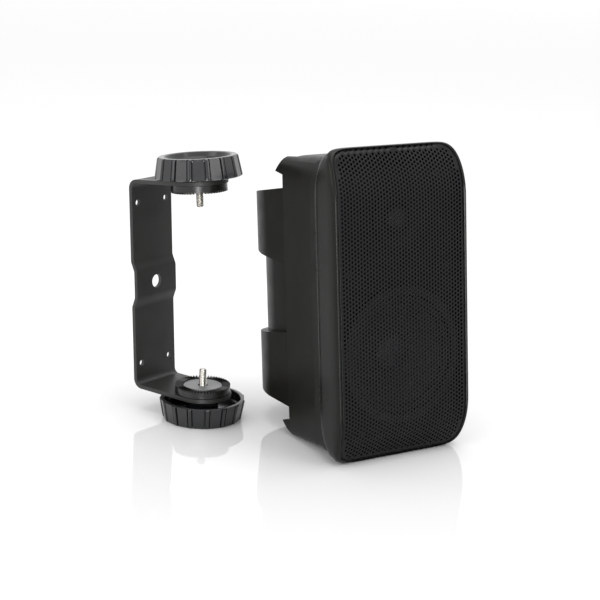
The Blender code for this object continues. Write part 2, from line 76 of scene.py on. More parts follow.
# Cabinet front and seam: flat in the middle, bent towards each other at the ends.
FRONT_Y = -11.5
FRONT_FLAT = 76.0
FRONT_BEND = 115.0
SEAM_Y = 14.7
SEAM_FLAT = 80.0
SEAM_BEND = 150.0

# Grille.
GRILLE_HALF = (55.2, 113.9)
GRILLE_THICK = 0.8
GRILLE_SINK = 0.35
PLAIN_RIM = (2.6, 3.2)
HOLE_PITCH = 3.0
COLUMN_PITCH = HOLE_PITCH * math.sqrt(3) / 2
HOLE_RADIUS = 1.0
HOLE_SIDES = 12
LEAST_CELL = 1.0

# Cabinet body and its hooks.
BODY_HALF = (54.6, 109.4)
WALL = 3.2
SIDE_WALL = 5.4
HOOK_Y = 68.5
HOOK_HALF = (52.4, 107.1)
HOOK_TIP_Z = 95.5
HOOK_SLANT = 0.95
HOOK_INSET = (0.2, 0.25)
NOTCH_Z = (83.4, 92.9)
RECESS_FRONT = 54.0
RECESS_SINK = 0.2
BEYOND = (150.0, 130.0)
SHELL_EDGE = 0.45

# Rear blocks and the lower part between them, about the axis that the bracket turns on.
PIVOT_Y = 91.0
BLOCK_Y = PIVOT_Y + 3.0
PLAN_FRONT = 50.0
TAPER_END = 84.0
BLOCK_RADIUS = 52.0
BLOCK_HALF = (52.3, 52.1)
BLOCK_INNER = (26.1, 0.114)
BLOCK_SLOPE = 0.115
MID_RADIUS = 46.2
MID_HALF = (46.8, 46.5)
MID_HEIGHT = 36.0
PANEL_HALF = 20.0
PANEL_Y = BLOCK_Y + math.sqrt(MID_RADIUS**2 - PANEL_HALF**2)
TERMINAL_HALF = (15.9, 10.9)
SEAT_FLOOR = 72.6
SEAT_RADIUS = 23.4
SEAT_WALL = 4.6
BOSS_DEPTH = 16.0
INSERT_BORE = 4.8
INSERT_DEPTH = 12.6
SEAT_RING = (9.0, 23.0, 72.9, 2.4)

# Drivers, measured from their axes with +Z towards the front.
BAFFLE_Y = -4.5
BAFFLE_SCREWS = {"top": (35.6, 92.5), "middle": (43.0, 24.0), "bottom": (35.6, -93.5)}
WOOFER_Z = -38.0
CONE_NECK = 13.3
CONE_REACH = 23.4
ROLL_MIDDLE = 40.9
TWEETER_Z = 62.0
DOME_ARC = math.radians(68)

# Bracket strap.
ARM_HALF = 82.6
SPLAY = math.radians(2.7)
STRAP_HALF = 22.3
SHEET = 3.0
ARM_END = 22.6
ARM_OVERRUN = 3.0
PLATE_Y = 49.4
PLATE_SPAN = (30, 70)
BEND = 4.5
JOGGLE = (9.5, 19.0, 3.2)
CENTRE_HOLE = 5.25
CORNER_HOLE = 2.5
CORNER_HOLES = (15.8, 64.3)
STRAP_EDGE = 0.35

# Studs and serrated rings.
STUD_RADIUS = 3.0
STUD_REACH = 12.0
STUD_ROOT = 8.0
STUD_SIDES = 32
THREAD_PITCH = 1.0
THREAD_DEPTH = 0.588
THREAD_STEPS = 6
CHAMFER = 0.9
RING_RADII = (15.6, 21.6)
RING_HEIGHT = 6.5
RING_FOOT = 0.3
TEETH = 56
TOOTH = 2.2

# Knobs.
KNOB_AT = 4.8
KNOB_HEIGHT = 16.2
KNOB_RADII = (33.2, 30.6)
KNOB_WALL = 3.4
KNOB_RIBS = 15
RIB_STEPS = 32
HUB_RADIUS = 12.6
CUP_DEPTH = 8.2
DISH_EDGE = 5.2
DISH_DEPTH = 6.0
BAR_HALF = math.radians(2.7)
BAR_HEIGHT = 0.45
GROOVE = math.radians(1.6)
GROOVE_DEPTH = 1.0

# Where the cabinet and the bracket stand.
CABINET_AT = (35.86, -99.13, 0.42)
LEAN = math.atan2(HALF_HEIGHT - HOOK_HALF[1], HOOK_Y)
BRACKET_AT = (-52.84, 41.57)
BRACKET_YAW = math.radians(20.3)
BRACKET_Z = ARM_HALF + (KNOB_AT + KNOB_HEIGHT) / math.cos(SPLAY)

# Camera and table, in metres.
EYE = (-0.6290, -1.0073, 0.4133)
LOOK = (0.5341, 0.8455)
PITCH = math.radians(14.79)
ROLL = math.radians(2.05)
LENS = 96.0
SENSOR = 36.0
TABLE_REACH = 6.0


def at(x=0.0, y=0.0, z=0.0):
    return Matrix.Translation(Vector((x, y, z)) * MM)


def turn(degrees, axis):
    return Matrix.Rotation(math.radians(degrees), 4, axis)


FORWARD = turn(90, "X")
BACKWARD = turn(-90, "X")
UPSIDE_DOWN = turn(180, "X")
CABINET = at(*CABINET_AT) @ Matrix.Rotation(-LEAN, 4, "X") @ at(0, 0, HALF_HEIGHT)
BRACKET = at(*BRACKET_AT) @ Matrix.Rotation(BRACKET_YAW, 4, "Z")
BRACKET = BRACKET @ Matrix.Rotation(-SPLAY, 4, "X") @ at(0, 0, BRACKET_Z)
WOOFER = CABINET @ FORWARD @ at(0, WOOFER_Z, -BAFFLE_Y)
TWEETER = CABINET @ FORWARD @ at(0, TWEETER_Z, -BAFFLE_Y)


def arm_frame(side):
    """Frame of an arm at its pivot: the origin on the sheet's inner face, +Z pointing out."""
    angle = -SPLAY if side > 0 else math.pi + SPLAY
    return BRACKET @ at(0, 0, side * ARM_HALF) @ Matrix.Rotation(angle, 4, "X")


# ---------------------------------------------------------------- materials


class Nodes:
    """A material's node tree with short ways to add to it."""

    def __init__(self, name, **settings):
        self.material = bpy.data.materials.new(name)
        self.material.use_nodes = True
        self.tree = self.material.node_tree
        self.shader = self.tree.nodes["Principled BSDF"]
        for key, value in settings.items():
            self.shader.inputs[key.replace("_", " ").title()].default_value = value

    def add(self, kind, **inputs):
        node = self.tree.nodes.new(kind)
        for key, value in inputs.items():
            node.inputs[key.replace("_", " ").title()].default_value = value
        return node

    def link(self, source, target):
        self.tree.links.new(source, target)

    def noise(self, scale, detail, stretch=(1, 1, 1)):
        place = self.add("ShaderNodeTexCoord")
        mapping = self.add("ShaderNodeMapping", scale=stretch)
        self.link(place.outputs["Object"], mapping.inputs["Vector"])
        noise = self.add("ShaderNodeTexNoise", scale=scale, detail=detail)
        self.link(mapping.outputs["Vector"], noise.inputs["Vector"])
        return noise.outputs["Fac"]

    def gloss(self, value, roughness):
        """Roughness that wanders between a low and a high value."""
        low, high = roughness
        ramp = self.add("ShaderNodeMapRange", from_min=0.35, from_max=0.65, to_min=low, to_max=high)
        self.link(value, ramp.inputs["Value"])
        self.link(ramp.outputs["Result"], self.shader.inputs["Roughness"])

    def colours(self, value, dark, light, start=0.3, end=0.7):
        ramp = self.add("ShaderNodeValToRGB")
        ramp.color_ramp.elements[0].position = start
        ramp.color_ramp.elements[0].color = (*dark, 1)
        ramp.color_ramp.elements[1].position = end
        ramp.color_ramp.elements[1].color = (*light, 1)
        self.link(value, ramp.inputs["Fac"])
        self.link(ramp.outputs["Color"], self.shader.inputs["Base Color"])

    def bump(self, value, strength, distance):
        bump = self.add("ShaderNodeBump", strength=strength, distance=distance)
        self.link(value, bump.inputs["Height"])
        self.link(bump.outputs["Normal"], self.shader.inputs["Normal"])


def mottled(name, dark, light, roughness, grain=900.0, depth=0.00006, shine=0.5, **settings):
    """A surface with a slight cloudiness, uneven gloss and a fine grain."""
    nodes = Nodes(name, **settings)
    nodes.shader.inputs["Specular IOR Level"].default_value = shine
    nodes.colours(nodes.noise(35.0, 6.0), dark, light)
    nodes.gloss(nodes.noise(60.0, 5.0), roughness)
    nodes.bump(nodes.noise(grain, 3.0), 0.35, depth)
    return nodes.material


def metal(name, dark, light, roughness):
    """Bare or plated metal with fine marks across its length."""
    stretch = (1, 1, 12)
    nodes = Nodes(name, metallic=1.0)
    nodes.colours(nodes.noise(220.0, 5.0, stretch), dark, light)
    nodes.gloss(nodes.noise(300.0, 4.0, stretch), roughness)
    nodes.bump(nodes.noise(500.0, 3.0, stretch), 0.2, 0.00002)
    return nodes.material


def paper():
    """Pressed pulp: dark fibres with a little relief."""
    nodes = Nodes("paper_pulp")
    nodes.colours(nodes.noise(500.0, 8.0), (0.012, 0.012, 0.016), (0.034, 0.034, 0.042))
    nodes.gloss(nodes.noise(200.0, 4.0), (0.5, 0.75))
    nodes.bump(nodes.noise(1200.0, 6.0), 0.5, 0.0001)
    return nodes.material


def cloth():
    """Resin-stiffened cotton."""
    nodes = Nodes("spider_cloth", roughness=0.9)
    nodes.colours(nodes.noise(900.0, 6.0), (0.25, 0.17, 0.06), (0.5, 0.36, 0.15))
    nodes.bump(nodes.noise(1500.0, 3.0), 0.7, 0.0002)
    return nodes.material


def winding():
    """Copper wire laid turn by turn."""
    nodes = Nodes("copper_turns", metallic=0.9, roughness=0.3)
    wave = nodes.add("ShaderNodeTexWave", scale=700.0, distortion=0.4)
    wave.bands_direction = "Y"
    place = nodes.add("ShaderNodeTexCoord")
    nodes.link(place.outputs["Object"], wave.inputs["Vector"])
    nodes.colours(wave.outputs["Fac"], (0.30, 0.10, 0.03), (0.72, 0.30, 0.12), 0.1, 0.8)
    nodes.bump(wave.outputs["Fac"], 0.6, 0.0002)
    return nodes.material


def black_finishes():
    """The black surfaces that make up nearly all of what shows."""
    shell = (0.0052, 0.0051, 0.0044), (0.0078, 0.0076, 0.0066)
    moulded = (0.0065, 0.0072, 0.0078), (0.011, 0.012, 0.013)
    paint = (0.0042, 0.0042, 0.0046), (0.0068, 0.0068, 0.0074)
    powder = (0.0125, 0.0125, 0.0115), (0.018, 0.018, 0.0165)
    steel = (0.0135, 0.0135, 0.0135), (0.024, 0.024, 0.025)
    rubber = (0.014, 0.014, 0.014), (0.024, 0.024, 0.023)
    fine = 0.00002
    return {
        "satin_black_plastic": mottled("satin_plastic", *shell, (0.33, 0.42), shine=0.14),
        "bezel_plastic": mottled("bezel_plastic", *shell, (0.22, 0.28), shine=0.17),
        "ring_plastic": mottled("ring_plastic", *shell, (0.22, 0.3), depth=fine),
        "knob_plastic": mottled("knob_plastic", *moulded, (0.15, 0.21), depth=fine, shine=0.6),
        "painted_grille_steel": mottled("grille_paint", *paint, (0.3, 0.42), 1500.0, shine=0.14),
        "powder_coat": mottled("powder", *powder, (0.38, 0.5), 1800.0, 0.00012),
        "black_steel": mottled("black_steel", *steel, (0.35, 0.5), metallic=0.3),
        "black_rubber": mottled("rubber", *rubber, (0.6, 0.75)),
    }


def other_finishes():
    """The metals, the drivers' soft parts and what sits on the crossover board."""
    grey = (0.16, 0.162, 0.165), (0.24, 0.242, 0.245)
    ferrite = (0.045, 0.045, 0.05), (0.08, 0.08, 0.085)
    silk = (0.018, 0.018, 0.024), (0.03, 0.03, 0.038)
    sleeve = (0.02, 0.02, 0.10), (0.03, 0.03, 0.16)
    board = (0.008, 0.07, 0.03), (0.015, 0.11, 0.05)
    ceramic = (0.5, 0.48, 0.42), (0.66, 0.63, 0.57)
    red = (0.32, 0.012, 0.012), (0.48, 0.02, 0.02)
    return {
        "zinc_plate": metal("zinc_plate", (0.50, 0.48, 0.44), (0.78, 0.76, 0.72), (0.2, 0.34)),
        "bare_steel": metal("bare_steel", (0.36, 0.36, 0.37), (0.55, 0.55, 0.56), (0.3, 0.45)),
        "brass": metal("brass", (0.55, 0.38, 0.15), (0.78, 0.58, 0.28), (0.25, 0.4)),
        "grey_plastic": mottled("grey_plastic", *grey, (0.4, 0.5)),
        "red_plastic": mottled("red_plastic", *red, (0.3, 0.42)),
        "ferrite": mottled("ferrite", *ferrite, (0.6, 0.75)),
        "coated_paper": paper(),
        "coated_silk": mottled("silk", *silk, (0.35, 0.5), 2500.0),
        "spider_cloth": cloth(),
        "enamelled_copper": winding(),
        "capacitor_sleeve": mottled("sleeve", *sleeve, (0.3, 0.4)),
        "circuit_board": mottled("board", *board, (0.3, 0.45)),
        "ceramic_resistor": mottled("ceramic", *ceramic, (0.7, 0.85)),
    }


# ---------------------------------------------------------------- mesh helpers


def mesh_data(name, mesh, matrix):
    """Turns a bmesh in millimetres into mesh data in metres, placed by a matrix."""
    bmesh.ops.transform(mesh, matrix=matrix @ Matrix.Scale(MM, 4), verts=mesh.verts)
    data = bpy.data.meshes.new(name)
    mesh.to_mesh(data)
    mesh.free()
    return data


def solid_data(name, mesh, matrix):
    """Mesh data of a closed shape, with its faces pointing out."""
    bmesh.ops.recalc_face_normals(mesh, faces=mesh.faces)
    if mesh.calc_volume(signed=True) < 0:
        bmesh.ops.reverse_faces(mesh, faces=mesh.faces)
    return mesh_data(name, mesh, matrix)


def link_object(name, data):
    item = bpy.data.objects.new(name, data)
    bpy.context.scene.collection.objects.link(item)
    return item


def shade(data, sharp):
    """Smooth shading, with edges sharper than an angle in degrees kept crisp."""
    data.shade_smooth()
    data.set_sharp_from_angle(angle=math.radians(sharp))


def add(name, mesh, slot, body, matrix, stands_for=None, material=None, sharp=35):
    """One visible piece from a bmesh in millimetres, tied to its body, in its slot's material or
    another.
    """
    data = solid_data(name, mesh, matrix)
    data.materials.append(material or MATERIALS[slot])
    shade(data, sharp)
    item = link_object(name, data)
    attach(item, body)
    if stands_for:
        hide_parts(stands_for)
    return item


class Carving:
    """A piece that shapes in millimetres are joined to and cut from, in order."""

    def __init__(self, item, place):
        self.item = item
        self.place = place
        self.tools = []

    def join(self, mesh):
        self.use("UNION", mesh, self.place)

    def cut(self, mesh, place=None):
        self.use("DIFFERENCE", mesh, self.place if place is None else place)

    def use(self, operation, mesh, place):
        tool = link_object("tool", solid_data("tool", mesh, place))
        modifier = self.item.modifiers.new("Shape", "BOOLEAN")
        modifier.operation = operation
        modifier.solver = "EXACT"
        modifier.object = tool
        self.tools.append(tool)

    def settle(self, edge):
        """Makes the shapes part of the piece's mesh, then softens its edges by a width."""
        depsgraph = bpy.context.evaluated_depsgraph_get()
        data = bpy.data.meshes.new_from_object(self.item.evaluated_get(depsgraph))
        self.item.modifiers.clear()
        self.item.data = data
        for tool in self.tools:
            bpy.data.objects.remove(tool, do_unlink=True)
        shade(data, 28)
        modifier = self.item.modifiers.new("Soft edges", "BEVEL")
        modifier.width = edge * MM
        modifier.segments = 2
        modifier.limit_method = "ANGLE"
        modifier.angle_limit = math.radians(40)
        modifier.harden_normals = True


def polar(radius, angle, height):
    return (radius * math.cos(angle), radius * math.sin(angle), height)


def skin(mesh, rings, around=False):
    """Joins each ring of points to the next with faces. A ring may be one point on the axis."""
    count = max(len(ring) for ring in rings)
    following = rings[1:] + rings[:1] if around else rings[1:]
    for first, second in zip(rings, following):
        for i in range(count):
            j = (i + 1) % count
            corners = [first[i % len(first)], first[j % len(first)]]
            corners += [second[j % len(second)], second[i % len(second)]]
            corners = list(dict.fromkeys(corners))
            if len(corners) > 2:
                mesh.faces.new(corners)


def loft(sections, around=False):
    """Skins equal closed loops of points. The ends are capped unless the loft runs around."""
    mesh = bmesh.new()
    rings = [[mesh.verts.new(point) for point in section] for section in sections]
    skin(mesh, rings, around)
    if not around:
        close(mesh, rings[0])
        close(mesh, rings[-1])
    return mesh


def close(mesh, ring):
    """Closes a ring of points. One that is symmetric in X gets flat strips from side to side."""
    count = len(ring)
    for start in range(count):
        left = [ring[(start + i) % count] for i in range(count // 2)]
        right = [ring[(start - 1 - i) % count] for i in range(count // 2)]
        mirrored = [Vector((-point.co.x, point.co.y, point.co.z)) for point in right]
        if all((a.co - b).length < TOUCHING for a, b in zip(left, mirrored)):
            for i in range(count // 2 - 1):
                mesh.faces.new((left[i], left[i + 1], right[i + 1], right[i]))
            return
    mesh.faces.new(ring)


def as_curve(value):
    """A number or a function, as a function."""
    return value if callable(value) else lambda _: value


def prism(outline, low, high):
    """An outline in the XY plane between two heights, each a number or a function of Y."""
    return loft([[(x, y, as_curve(end)(y)) for x, y in outline] for end in (low, high)])


def box(low, high):
    outline = [(low[0], low[1]), (high[0], low[1]), (high[0], high[1]), (low[0], high[1])]
    return prism(outline, low[2], high[2])


def side_prism(outline, low, high):
    """An outline of (y, z) points between two X positions."""
    return loft([[(x, y, z) for y, z in outline] for x in (low, high)])


def arc(centre, radius, start, end, steps):
    angles = [math.radians(start + (end - start) * i / steps) for i in range(steps + 1)]
    return [(centre[0] + radius * math.cos(a), centre[1] + radius * math.sin(a)) for a in angles]


def turned(profile, segments=96):
    """Turns a closed (radius, height) outline about the Z axis. Radius 0 lies on the axis."""
    mesh = bmesh.new()
    rings = []
    for radius, height in profile:
        count = segments if radius else 1
        angles = [2 * math.pi * i / count for i in range(count)]
        rings.append([mesh.verts.new(polar(radius, angle, height)) for angle in angles])
    skin(mesh, rings, around=True)
    return mesh


def cylinder(radius, low, high, segments=64):
    return turned([(0, low), (radius, low), (radius, high), (0, high)], segments)


def soft_oblong(half_width, half_height, depth, power=CORNER_POWER):
    """Loop of a superellipse in the XZ plane. Its depth is a number or a function of Z."""
    points = []
    for i in range(OUTLINE_STEPS):
        angle = 2 * math.pi * (i + 0.5) / OUTLINE_STEPS
        c, s = math.cos(angle), math.sin(angle)
        x = half_width * math.copysign(abs(c) ** (2 / power), c)
        z = half_height * math.copysign(abs(s) ** (2 / power), s)
        points.append((x, as_curve(depth)(z), z))
    return points


# ---------------------------------------------------------------- cabinet


def front_y(z):
    return FRONT_Y + max(0.0, abs(z) - FRONT_FLAT) ** 2 / FRONT_BEND


def seam_y(z):
    return SEAM_Y - max(0.0, abs(z) - SEAM_FLAT) ** 2 / SEAM_BEND


def depth_between(share, offset):
    """Depth at each height: a share of the way from the front to the seam, plus an offset."""
    return lambda z: front_y(z) + share * (seam_y(z) - front_y(z)) + offset


def bezel():
    """The front frame: a thin rounded rim, a full side and a lip towards the seam."""
    levels = [
        (56.3, 114.5, 0, -0.35),
        (57.2, 114.8, 0, -0.15),
        (57.9, 115.0, 0, 0.5),
        (58.5, 115.15, 0, 1.6),
        (HALF_WIDTH, 115.0, 0, 4.0),
        (HALF_WIDTH, 114.7, 0.4, 0),
        (58.9, 114.5, 0.6, 0),
        (58.8, 114.1, 0.8, 0),
        (58.6, 113.3, 0.95, 0),
        (58.1, 112.5, 1, 0),
        (54.6, 107.0, 1, 0),
        (54.8, 112.0, 0, 3.2),
        (55.6, 114.2, 0, 1.6),
        (55.6, 114.2, 0, 0.2),
    ]
    sections = []
    for half_width, half_height, share, offset in levels:
        sections.append(soft_oblong(half_width, half_height, depth_between(share, offset)))
    mesh = loft(sections, around=True)
    slot, glossy = "satin_black_plastic", MATERIALS["bezel_plastic"]
    add("front_bezel_skin", mesh, slot, "cabinet", CABINET, "front_bezel", glossy, sharp=50)


def block_outer(y):
    return NOTCH_Z[0] - BLOCK_SLOPE * max(0.0, y - HOOK_Y)


def block_inner(y):
    return BLOCK_INNER[0] + BLOCK_INNER[1] * max(0.0, y - HOOK_Y)


def moved(curve, side, offset=0.0):
    """A height curve shifted by an offset, and turned over for the lower side."""
    return lambda y: side * (curve(y) + offset)


def rear_plan(radius, half, flat=None):
    """Plan of a rear part: tapering sides and a round back, cut off straight at flat."""
    outline = [(-half[0], PLAN_FRONT), (half[0], PLAN_FRONT)]
    outline += [(half[0], HOOK_Y), (half[1], TAPER_END)]
    if flat is None:
        outline += arc((0, BLOCK_Y), radius, 1, 179, 89)
    else:
        corner = math.degrees(math.asin((flat - BLOCK_Y) / radius))
        outline += arc((0, BLOCK_Y), radius, 1, corner, 30)
        outline += arc((0, BLOCK_Y), radius, 180 - corner, 179, 30)
    return outline + [(-half[1], TAPER_END), (-half[0], HOOK_Y)]


def rear_shell():
    """The rear body: a lipped front edge, tapering sides, round blocks, hooks and recesses."""
    lip = [
        (57.6, 109.7, 0.3),
        (58.1, 110.1, 0.7),
        (58.1, 110.1, 7.0),
        (57.5, 109.9, 7.9),
        (55.2, 109.6, 8.6),
        (*BODY_HALF, 9.6),
    ]
    sections = [soft_oblong(half, tall, depth_between(1, offset)) for half, tall, offset in lip]
    sections.append(soft_oblong(*HOOK_HALF, HOOK_Y, TIGHT_POWER))
    slot = "satin_black_plastic"
    shell = add("rear_shell_skin", loft(sections), slot, "cabinet", CABINET, "rear_shell")
    carving = Carving(shell, CABINET)
    carving.join(prism(rear_plan(MID_RADIUS, MID_HALF, PANEL_Y), -MID_HEIGHT, MID_HEIGHT))
    plan = rear_plan(BLOCK_RADIUS, BLOCK_HALF)
    for side in (-1, 1):
        carving.join(prism(plan, moved(block_inner, side), moved(block_outer, side)))
    for side in (-1, 1):
        arm_recess(carving, side)
    hollow_out(carving)
    seats(carving)
    wide, tall = TERMINAL_HALF
    carving.cut(box((-wide, PANEL_Y - 12, -tall), (wide, PANEL_Y + 6, tall)))
    carving.settle(SHELL_EDGE)


def arm_recess(carving, side):
    """Room for the bracket's arm and knob, between two side walls that end in hooks."""
    inner_half = HOOK_HALF[0] - SIDE_WALL
    floor = [(y, block_outer(y) - RECESS_SINK) for y in (RECESS_FRONT, HOOK_Y, BEYOND[0])]
    outline = [(RECESS_FRONT, BEYOND[1]), *floor, BEYOND]
    carving.cut(side_prism([(y, side * z) for y, z in outline], -inner_half, inner_half))
    half_width, half_height = HOOK_HALF[0] - HOOK_INSET[0], HOOK_HALF[1] - HOOK_INSET[1]
    for wall in (-1, 1):
        sections = []
        for x in (inner_half + HOOK_INSET[0], 48.6, 49.8, 50.8, 51.4, 51.8):
            top = half_height * (1 - (x / half_width) ** TIGHT_POWER) ** (1 / TIGHT_POWER)
            ends = [(HOOK_Y + HOOK_SLANT * (HOOK_HALF[1] - z), z) for z in (top, HOOK_TIP_Z)]
            hook = [(60, NOTCH_Z[1] + 1.5), (60, top), *ends, (HOOK_Y - 0.5, NOTCH_Z[1])]
            sections.append([(wall * x, y, side * z) for y, z in hook])
        carving.join(loft(sections))


def hollow_out(carving):
    """The room inside, open towards the bezel, following the body, its waist and the blocks."""
    waist = RECESS_FRONT - WALL
    front = [(54.4, 105.6, -5.0), (54.4, 105.6, 12.0), (51.2, 105.2, 24.0), (50.0, 104.0, waist)]
    carving.cut(loft([soft_oblong(*section) for section in front]))
    inner, tall = HOOK_HALF[0] - WALL, NOTCH_Z[0] - WALL
    carving.cut(box((-inner, waist - 1, -tall), (inner, HOOK_Y - 3, tall)))
    middle = (MID_HALF[0] - WALL, MID_HALF[1] - WALL)
    plan = rear_plan(MID_RADIUS - WALL, middle, PANEL_Y - WALL)
    carving.cut(prism(plan, 2 - MID_HEIGHT, MID_HEIGHT - 2))
    plan = rear_plan(BLOCK_RADIUS - WALL, (BLOCK_HALF[0] - WALL, BLOCK_HALF[1] - WALL))
    for side in (-1, 1):
        carving.cut(prism(plan, moved(block_inner, side, WALL), moved(block_outer, side, -WALL)))


def seats(carving):
    """Bosses in the blocks with a round seat for the bracket's ring and a bore for its insert."""
    outline = arc((0, PIVOT_Y), SEAT_RADIUS + SEAT_WALL, 4.5, 364.5, 40)[:-1]
    for side in (-1, 1):
        low = side * (SEAT_FLOOR - BOSS_DEPTH)
        carving.join(prism(outline, low, moved(block_outer, side, -1.0)))
    bottom = SEAT_FLOOR - INSERT_DEPTH
    profile = [(0, bottom), (INSERT_BORE, bottom), (INSERT_BORE, SEAT_FLOOR)]
    profile += [(SEAT_RADIUS, SEAT_FLOOR), (SEAT_RADIUS, HALF_HEIGHT), (0, HALF_HEIGHT)]
    for angle in (0, 180):
        carving.cut(turned(profile), CABINET @ at(0, PIVOT_Y, 0) @ turn(angle, "X"))


def grille_edge(z):
    """Half-width of the grille at a height."""
    share = min(1.0, abs(z) / GRILLE_HALF[1])
    return GRILLE_HALF[0] * (1 - share**CORNER_POWER) ** (1 / CORNER_POWER)


def perforated_sheet():
    """The grille's face: a round hole in every cell of a staggered grid, clipped by its outline."""
    mesh = bmesh.new()
    columns = int(GRILLE_HALF[0] / COLUMN_PITCH) + 1
    rows = int(GRILLE_HALF[1] / HOLE_PITCH) + 1
    for column in range(-columns, columns + 1):
        shift = HOLE_PITCH / 2 if column % 2 else 0.0
        for row in range(-rows, rows + 1):
            hexagon_cell(mesh, column * COLUMN_PITCH, row * HOLE_PITCH + shift)
    bmesh.ops.remove_doubles(mesh, verts=mesh.verts, dist=0.01)
    return mesh


def hexagon_cell(mesh, x, z):
    """One hexagonal cell with a round hole, or a plain one near the grille's rim."""
    reach = HOLE_PITCH / math.sqrt(3)
    if max(abs(x) - grille_edge(z), abs(z) - GRILLE_HALF[1]) > reach:
        return
    corners = [clipped(*corner) for corner in polygon(x, z, reach, 6)]
    if max((a - b).length for a in corners for b in corners) < LEAST_CELL:
        return
    outer = [mesh.verts.new(point) for point in corners]
    beside = abs(x) > grille_edge(abs(z) + HOLE_PITCH) - PLAIN_RIM[0]
    if beside or abs(z) > GRILLE_HALF[1] - PLAIN_RIM[1]:
        try_face(mesh, outer)
        return
    hole = polygon(x, z, HOLE_RADIUS, HOLE_SIDES)
    inner = [mesh.verts.new((hole_x, 0, hole_z)) for hole_x, hole_z in hole]
    for k in range(6):
        ring = [inner[(2 * k + step) % HOLE_SIDES] for step in (2, 1, 0)]
        try_face(mesh, [outer[k], outer[(k + 1) % 6], *ring])


def polygon(x, z, radius, sides):
    """Corners of a regular polygon, the first one towards +X."""
    return arc((x, z), radius, 0, 360, sides)[:-1]


def clipped(x, z):
    """A point moved onto the grille's outline if it lies outside."""
    tall = GRILLE_HALF[1] - 0.05
    z = max(-tall, min(tall, z))
    edge = grille_edge(z)
    return Vector((max(-edge, min(edge, x)), 0, z))


def try_face(mesh, corners):
    """Adds a face, unless clipping has left it without area."""
    following = corners[1:] + corners[:1]
    area = sum(a.co.cross(b.co).y for a, b in zip(corners, following))
    if abs(area) > 0.02:
        mesh.faces.new(corners)


def grille():
    """The perforated sheet, bent to the front's curve and given its thickness."""
    mesh = perforated_sheet()
    for vert in mesh.verts:
        vert.co.y = front_y(vert.co.z) + GRILLE_SINK
    bmesh.ops.recalc_face_normals(mesh, faces=mesh.faces)
    mesh.faces.ensure_lookup_table()
    if mesh.faces[len(mesh.faces) // 2].normal.y > 0:
        bmesh.ops.reverse_faces(mesh, faces=mesh.faces)
    data = mesh_data("grille_sheet", mesh, CABINET)
    data.materials.append(MATERIALS["painted_grille_steel"])
    shade(data, 35)
    item = link_object("grille_sheet", data)
    solid = item.modifiers.new("Thickness", "SOLIDIFY")
    solid.thickness = GRILLE_THICK * MM
    solid.offset = -1.0
    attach(item, "front_grille")
    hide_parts("grille")


def screws():
    """Domed heads over the baffle's screws."""
    profile = [(0, 1.5), (0, 1.9), (1.2, 1.85), (2.4, 1.6), (3.15, 1.0), (3.25, 0.45), (2.0, 0.4)]
    for height, (x, z) in BAFFLE_SCREWS.items():
        for side, word in ((-1, "left"), (1, "right")):
            place = CABINET @ FORWARD @ at(side * x, z, -BAFFLE_Y)
            name = f"screw_head_{height}_{word}"
            add(name, turned(profile, 32), "black_steel", "cabinet", place)


def woofer():
    """The pulp cone, its dust cap and the half-roll surround."""
    body = "woofer_cone_assembly"
    cone = [(CONE_NECK, -14.4)]
    for i in range(19):
        share = i / 18
        cone.append((CONE_NECK + CONE_REACH * share, -13.0 + 13.6 * share**0.86))
    cone += [(37.6, 0.7), (37.6, -0.3), (36.4, -0.4)]
    add("woofer_cone_skin", turned(cone), "coated_paper", body, WOOFER, "woofer_cone")
    cap = [(0, -6.4), (0.4, -5.5)]
    for i in range(1, 13):
        angle = math.pi / 2 * i / 12
        cap.append((14.8 * math.sin(angle * 0.999), -11.2 + 5.7 * math.cos(angle)))
    cap.append((13.8, -11.4))
    add("woofer_cap_skin", turned(cap), "coated_silk", body, WOOFER, "woofer_dust_cap")
    roll = [(37.4, 0.2)]
    for i in range(25):
        angle = math.pi * (1 - i / 24)
        roll.append((ROLL_MIDDLE + 2.9 * math.cos(angle), 0.6 + 2.7 * math.sin(angle)))
    roll += [(44.2, 0.6), (44.2, -0.1)]
    for i in range(13):
        angle = math.pi * i / 12
        roll.append((ROLL_MIDDLE + 2.4 * math.cos(angle), 0.2 + 2.2 * math.sin(angle)))
    add("woofer_surround_skin", turned(roll), "black_rubber", "cabinet", WOOFER, "woofer_surround")


def tweeter():
    """The silk dome."""
    dome = [(0, 4.2)]
    for i in range(1, 13):
        angle = DOME_ARC * i / 12
        dome.append((10.6 * math.sin(angle), -2.55 + 6.75 * math.cos(angle) ** 0.9))
    dome += [(9.9, -0.9), (9.3, -0.8), (0, 3.5)]
    body = "tweeter_diaphragm"
    add("tweeter_dome_skin", turned(dome), "coated_silk", body, TWEETER, "tweeter_dome")


# ---------------------------------------------------------------- bracket


def arm_height(y):
    return ARM_HALF - math.tan(SPLAY) * y


def half_band(offset):
    """The upper half of the strap's side view, at a distance from its inner face."""
    flat, ramp, joggle = JOGGLE
    start, bend = -ARM_END - ARM_OVERRUN, PLATE_Y - BEND
    line = [(start, arm_height(start) + offset), (bend, arm_height(bend) + offset)]
    line += arc((bend, arm_height(bend) - BEND), BEND + offset, 82, 0, 12)
    for share in (0.0, 0.15, 0.5, 0.85, 1.0):
        ease = share * share * (3 - 2 * share)
        line.append((PLATE_Y + offset - joggle * ease, ramp + (flat - ramp) * share))
    return line


